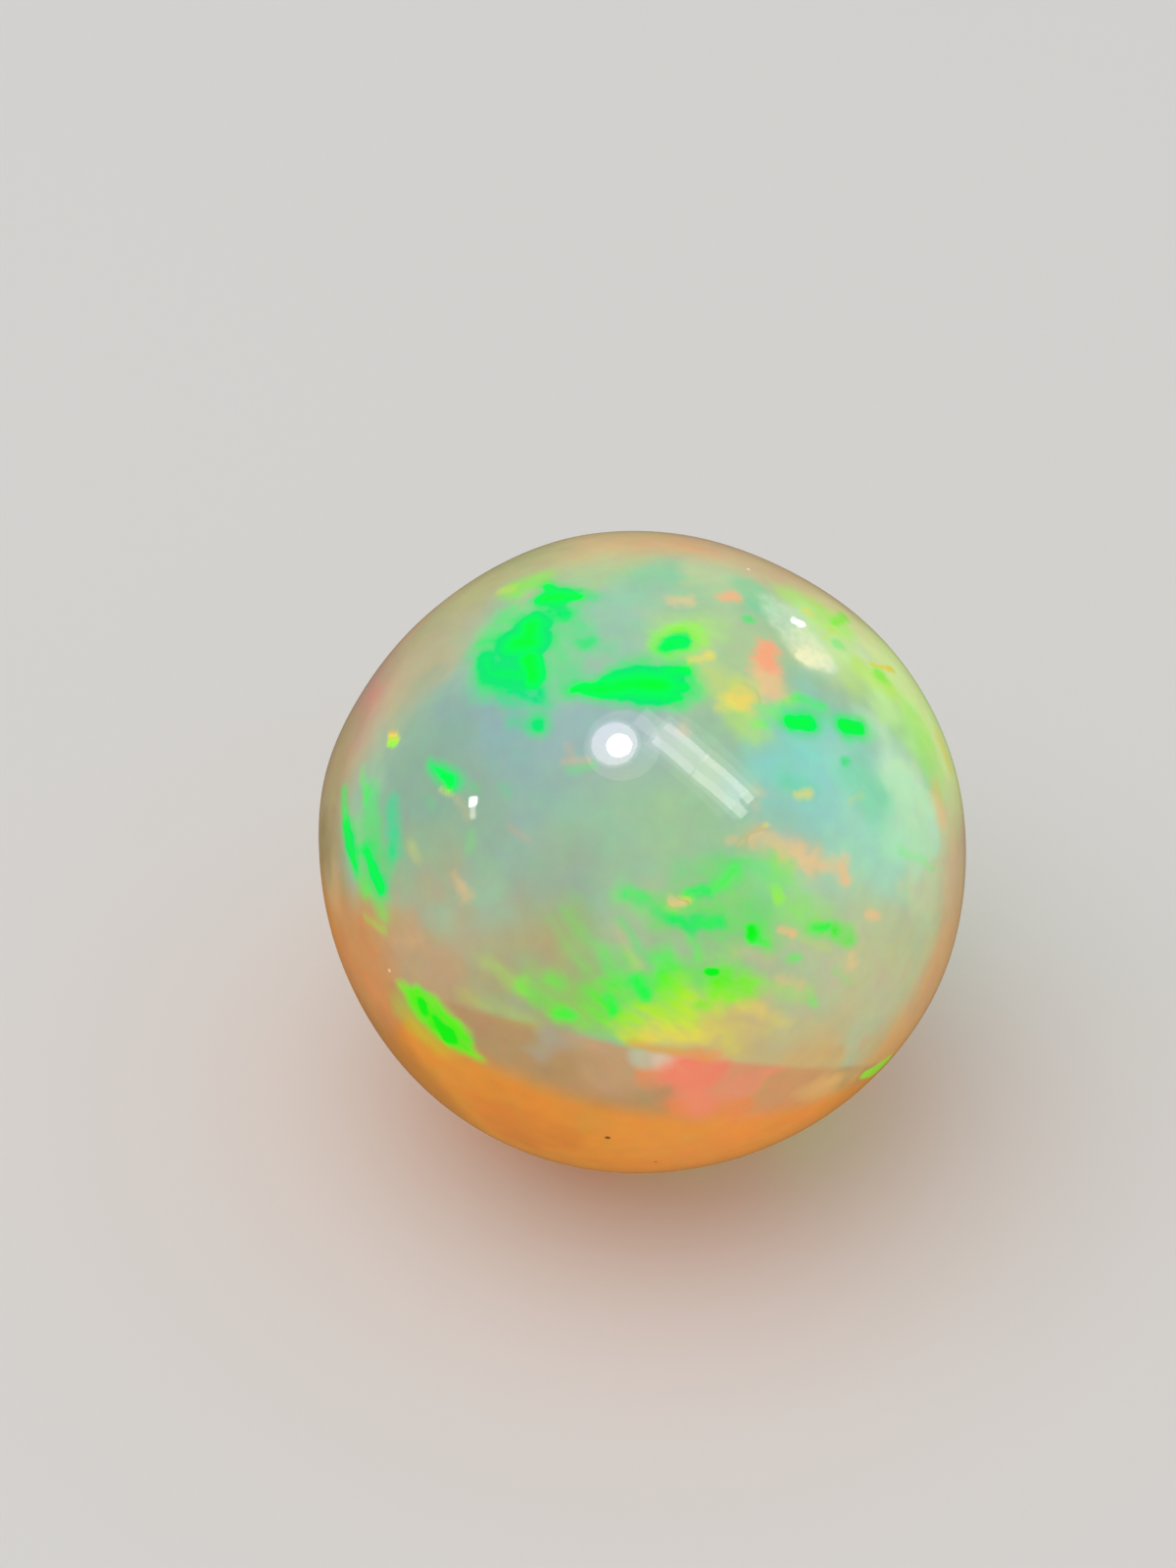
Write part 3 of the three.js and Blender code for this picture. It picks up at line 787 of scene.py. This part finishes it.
# Play-of-colour over the body.
shortest, longest = 480, 640


def attribute(name, output="Fac"):
    """A number or a colour that is stored for each point of the ball."""
    return add(opal, "ShaderNodeAttribute", attribute_name=name).outputs[output]


def spectral(nanometres):
    """The colour of a wavelength, as a ramp."""
    span = {"Value": nanometres, "From Min": shortest, "From Max": longest}
    ramp = add(opal, "ShaderNodeValToRGB", {0: add(opal, "ShaderNodeMapRange", span).outputs[0]})
    stops = ramp.color_ramp.elements
    while len(stops) > 1:
        stops.remove(stops[-1])
    for shown, code in spectral_colours.items():
        stops.new((shown - shortest) / (longest - shortest)).color = linear(code)
    stops.remove(stops[0])
    return ramp.outputs["Color"]


# Veils are combed into fine streaks that run down to the right.
comb = (to_right * 0.75 - to_top * 0.66).normalized()
along = add(opal, "ShaderNodeVectorMath", {0: on_stone, 1: comb}, operation="DOT_PRODUCT").outputs["Value"]
lengthwise = add(opal, "ShaderNodeVectorMath", {0: comb, "Scale": along}, operation="SCALE")
strands = {0: lengthwise.outputs[0], 1: (-0.86, -0.86, -0.86), 2: on_stone}
combed = add(opal, "ShaderNodeVectorMath", strands, operation="MULTIPLY_ADD").outputs[0]
strand_width = 0.14 * MM / ball_radius
streaks = add(opal, "ShaderNodeTexNoise", {"Vector": combed, "Scale": 1 / strand_width, "Detail": 2})
combing = {"Value": streaks.outputs["Fac"], "From Min": 0.3, "From Max": 0.7, "To Min": 0.78, "To Max": 1.16}
veil = times(attribute("veil_amount"), add(opal, "ShaderNodeMapRange", combing).outputs[0], use_clamp=True)
colour = blend(veil, colour, attribute("veil_colour", "Color"))

# Flashes have ragged outlines, and are bluer the further they lie from their middle line.
ragged_size = 0.15 * MM / ball_radius
ragged = add(opal, "ShaderNodeTexNoise", {"Vector": on_stone, "Scale": 1 / ragged_size, "Detail": 2})
even_ragged = add(opal, "ShaderNodeMath", {0: ragged.outputs["Fac"], 1: 0.5}, operation="SUBTRACT").outputs[0]
edge = attribute("flash_edge")
ragged_rise = add(opal, "ShaderNodeMath", {0: edge, 1: 0.6, 2: 0.03}, operation="MULTIPLY_ADD").outputs[0]
uneven = {0: even_ragged, 1: ragged_rise, 2: attribute("flash_depth")}
inside = add(opal, "ShaderNodeMath", uneven, operation="MULTIPLY_ADD").outputs[0]
strength = attribute("flash_strength")
per_edge = add(opal, "ShaderNodeMath", {0: inside, 1: edge}, operation="DIVIDE")
flash = times(fade(per_edge.outputs[0], -0.5, 0.5), strength)
flash_wave = attribute("flash_nanometres")
blueing_reach, blueing, bluest_edge = 0.3, 24, 516
drop = {"Value": attribute("flash_off_line"), "From Max": blueing_reach, "To Max": blueing}
dropping = times(add(opal, "ShaderNodeMapRange", drop).outputs[0], fade(flash_wave, 541, 537))
dropped = add(opal, "ShaderNodeMath", {0: flash_wave, 1: dropping}, operation="SUBTRACT").outputs[0]
bluer = add(opal, "ShaderNodeMath", {0: dropped, 1: bluest_edge}, operation="MAXIMUM").outputs[0]
colour = blend(flash, colour, spectral(bluer))

# The pebbled patch is whiter with a painted reflection, and is pebbled at a tenth of a millimetre.
glare_and_pebble_share = attribute("glare_and_pebbling")
pebble_size = 0.1 * MM / ball_radius
pebbles = add(opal, "ShaderNodeTexNoise", {"Vector": on_stone, "Scale": 1 / pebble_size, "Detail": 3})
dappled = {"Value": pebbles.outputs["Fac"], "From Min": 0.3, "From Max": 0.7, "To Min": 0.6, "To Max": 1.25}
painted_glare = times(glare_and_pebble_share, add(opal, "ShaderNodeMapRange", dappled).outputs[0], use_clamp=True)
painted_glare_colour = lay([Haze("cream foot", (836, 674), 11, "#f6f4c4", 1.0)], linear("#d2e8c6"))
colour = blend(painted_glare, colour, painted_glare_colour)
pebble_rise = {"Height": pebbles.outputs["Fac"], "Strength": glare_and_pebble_share, "Distance": 0.003 * MM}
pebbled = add(opal, "ShaderNodeBump", pebble_rise)

surface = {
    "Base Color": colour,
    "Roughness": 0.035,
    "IOR": 1.44,
    "Subsurface Weight": 0.35,
    "Subsurface Radius": (1.0, 0.85, 0.6),
    "Subsurface Scale": 0.8 * MM,
    # A painted glow: the body gives off a little of its own colour, so it looks lit from within.
    "Emission Color": colour,
    "Emission Strength": 0.28,
    "Normal": pebbled.outputs[0],
}
glassy = add(opal, "ShaderNodeBsdfPrincipled", surface)
add(opal, "ShaderNodeOutputMaterial", {"Surface": glassy.outputs[0]})

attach(opal_ball, "root")
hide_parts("opal_ball")

# The floor is a sheet of matt card, plain and pale.
floor_size = 0.6
half_floor = floor_size / 2
corner_ways = ((-1, -1), (1, -1), (1, 1), (-1, 1))
corners = [(x * half_floor, y * half_floor, ball_low.z) for x, y in corner_ways]
floor_mesh = bpy.data.meshes.new("card_floor")
floor_mesh.from_pydata(corners, [], [(0, 1, 2, 3)])
card_floor = bpy.data.objects.new("card_floor", floor_mesh)
bpy.context.scene.collection.objects.link(card_floor)
card_floor.visible_glossy = False
matt_card = bpy.data.materials.new("matt_card")
matt_card.use_nodes = True
card = matt_card.node_tree
card.nodes.clear()
paper = add(card, "ShaderNodeBsdfPrincipled", {"Base Color": linear("#e6e4e0"), "Roughness": 0.9})
add(card, "ShaderNodeOutputMaterial", {"Surface": paper.outputs[0]})
floor_mesh.materials.append(matt_card)

# The light: a pale room and one big soft panel overhead, with the small round lamp and the pair
# of thin tubes whose reflections show on the polish.
room = bpy.data.worlds.new("pale_room")
room.use_nodes = True
room.node_tree.nodes.clear()
air = add(room.node_tree, "ShaderNodeBackground", {"Color": linear("#f4f5f7"), "Strength": 0.66})
dusk = add(room.node_tree, "ShaderNodeBackground", {"Color": linear("#d8b890"), "Strength": 0.15})
which = add(room.node_tree, "ShaderNodeLightPath").outputs["Is Glossy Ray"]
both = add(room.node_tree, "ShaderNodeMixShader", {0: which, 1: air.outputs[0], 2: dusk.outputs[0]})
add(room.node_tree, "ShaderNodeOutputWorld", {"Surface": both.outputs[0]})
bpy.context.scene.world = room


def lamp(name, spot, size, radiance, tint, lengthwise=None, mirrored=True):
    """A flat lamp that faces the ball. A card as bright as radiance 1 would be white."""
    light = bpy.data.lights.new(name, "AREA")
    towards = spot.normalized()
    if lengthwise is None:
        light.shape = "DISK"
        light.size = size
        area = math.pi * size**2 / 4
        turn = towards.to_track_quat("Z", "Y")
    else:
        light.shape = "RECTANGLE"
        light.size, light.size_y = size
        area = size[0] * size[1]
        long_way = (lengthwise - towards * lengthwise.dot(towards)).normalized()
        turn = Matrix((long_way, towards.cross(long_way), towards)).transposed().to_quaternion()
    light.energy = radiance * area * math.pi
    light.color = linear(tint)[:3]
    made = bpy.data.objects.new(name, light)
    made.location = ball_centre + spot
    made.rotation_mode = "QUATERNION"
    made.rotation_quaternion = turn
    made.visible_camera = False
    made.visible_glossy = mirrored
    made.visible_diffuse = not mirrored
    bpy.context.scene.collection.objects.link(made)


lamp_distance = 110 * MM


def mirrored_from(across, down):
    """The spot, from the ball's middle, that the polish mirrors at a pixel of the photograph."""
    normal = on_ball(across, down)
    glint = normal * ball_radius
    seen_from = (camera_place - ball_centre - glint).normalized()
    return glint + (2 * normal.dot(seen_from) * normal - seen_from) * lamp_distance


panel_spot = Vector((-0.3, -0.1, 1)).normalized() * 0.3
lamp("soft_panel", panel_spot, 0.34, 1.0, "#ffffff", mirrored=False)
lamp("round_lamp", mirrored_from(633.8, 760), 16.4 * MM, 34, "#ffffff")
glow_spot = mirrored_from(629, 758)
lamp("round_lamp_glow", glow_spot * 1.02, 31 * MM, 7.5, "#f6dcee")
lamp("round_lamp_haze", glow_spot * 1.04, 36 * MM, 2.4, "#f0dcf0")
lamp("round_lamp_mist", mirrored_from(637, 759) * 1.06, 54 * MM, 2.1, "#f6d8fa")

# A pair of tubes mirrors as a soft-edged streak in two bands that part at the foot, and two small
# lamps mirror as sparks.
Tube = namedtuple("Tube", "name start end width radiance tint")
tubes = [
    Tube("streak_end", (655, 730), (677, 746), 15, 2.4, "#f4e2f6"),
    Tube("streak_head", (677, 746), (717, 779), 19, 3.8, "#fae2f2"),
    Tube("streak_body", (717, 779), (757, 813), 19, 3.8, "#fae2f2"),
    Tube("streak_haze_head", (673, 743), (718, 778), 27, 2.0, "#f0e2f6"),
    Tube("streak_haze", (718, 778), (765, 820), 27, 2.0, "#fae2e0"),
    Tube("streak_mist", (668, 740), (758, 814), 38, 1.1, "#f6e0f0"),
    Tube("upper_tube", (682, 740), (724, 772), 5.0, 2.8, "#f0e2f6"),
    Tube("upper_tube_low", (724, 772), (763, 806), 5.0, 2.8, "#fae2e0"),
    Tube("upper_tube_foot", (762, 806), (769, 814), 7.0, 6, "#fae2d2"),
    Tube("lower_tube", (670, 753), (710, 786), 6.6, 2.4, "#f0e2f6"),
    Tube("lower_tube_low", (710, 786), (751, 819), 6.6, 2.4, "#fae2e0"),
    Tube("lower_tube_foot", (752, 818), (762, 829), 8.0, 6, "#fae2d2"),
    Tube("left_spark", (484, 811), (484, 820), 6.2, 30, "#ffffff"),
    Tube("left_spark_tail", (484, 820), (484, 833), 4.4, 7, "#ffffff"),
    Tube("right_spark", (812, 637), (819, 635), 4.5, 10, "#ffffff"),
]
for tube in tubes:
    tube_start, tube_end = mirrored_from(*tube.start), mirrored_from(*tube.end)
    tube_run = tube_end - tube_start
    tube_size = tube_run.length, tube.width * MM
    lamp(tube.name, (tube_start + tube_end) / 2, tube_size, tube.radiance, tube.tint, tube_run)

bpy.context.scene.view_settings.view_transform = "Standard"
bpy.context.scene.view_settings.look = "None"
